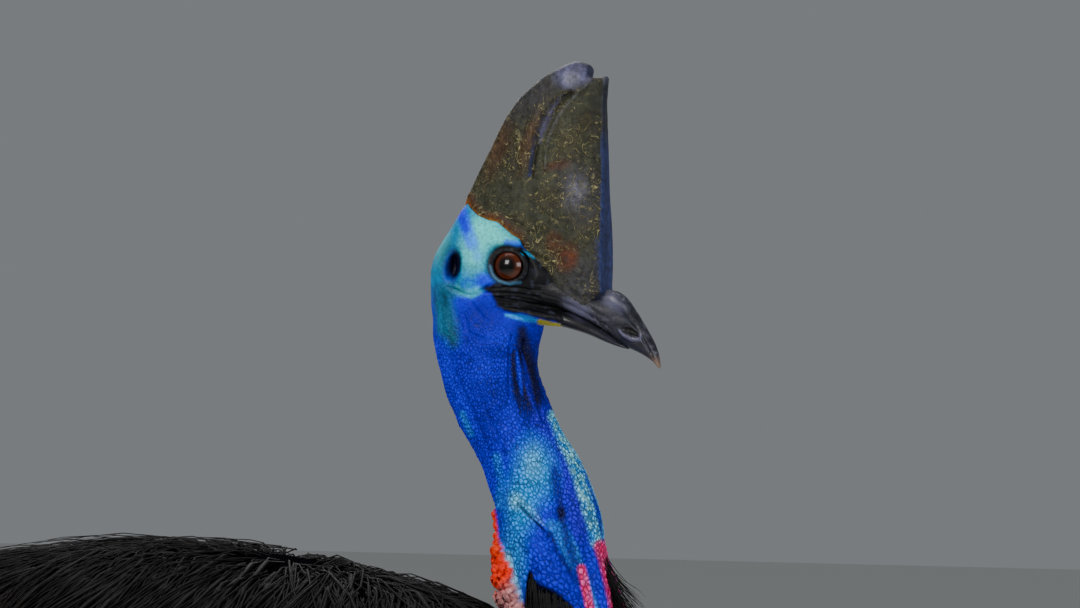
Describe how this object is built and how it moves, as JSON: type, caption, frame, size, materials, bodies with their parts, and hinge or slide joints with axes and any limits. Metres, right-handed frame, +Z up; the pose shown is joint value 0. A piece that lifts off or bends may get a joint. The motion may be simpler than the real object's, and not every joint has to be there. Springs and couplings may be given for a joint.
{
  "type": "cassowary",
  "caption": "Life-size standing cassowary: tall helmet casque, down-curved bill, bare blue neck with hanging wattles, shaggy hair-like coat, scaled legs and dagger claws.",
  "frame": {"origin": "on the floor, under the centre of the whole model's bounding box", "axes": "+X the way the bird faces, +Z up, -Y the bird's right side"},
  "size_m": [0.9328, 0.5016, 1.498],
  "materials": {
    "skin": "bare wrinkled and pebbled skin, turquoise on the head, ultramarine on the neck, black round the eye",
    "casque": "worn dark olive-brown horn with pale yellowish scratches",
    "bill": "black horn with a soft bluish sheen",
    "eye": "wet, orange-brown iris with a black pupil",
    "wattle": "folded red-pink skin with pebbled caruncles",
    "feather": "glossy black hair-like plumage",
    "scale": "grey-brown scutes and scales",
    "claw": "dark horn"
  },
  "bodies": {
    "root": {"bill_lower": "bill", "bill_upper": "bill", "casque": "casque", "claw_inner_left": "claw", "claw_inner_right": "claw", "claw_middle_left": "claw", "claw_middle_right": "claw", "claw_outer_left": "claw", "claw_outer_right": "claw", "eye_left": "eye", "eye_right": "eye", "foot_left": "scale", "foot_right": "scale", "head": "skin", "neck_lower": "skin", "neck_middle": "skin", "neck_upper": "skin", "shank_left": "scale", "shank_right": "scale", "thigh_left": "feather", "thigh_right": "feather", "toe_inner_left": "scale", "toe_inner_right": "scale", "toe_middle_left": "scale", "toe_middle_right": "scale", "toe_outer_left": "scale", "toe_outer_right": "scale", "torso": "feather", "wattle_left": "wattle", "wattle_right": "wattle", "wing_left": "feather", "wing_right": "feather"}
  },
  "joints": []
}
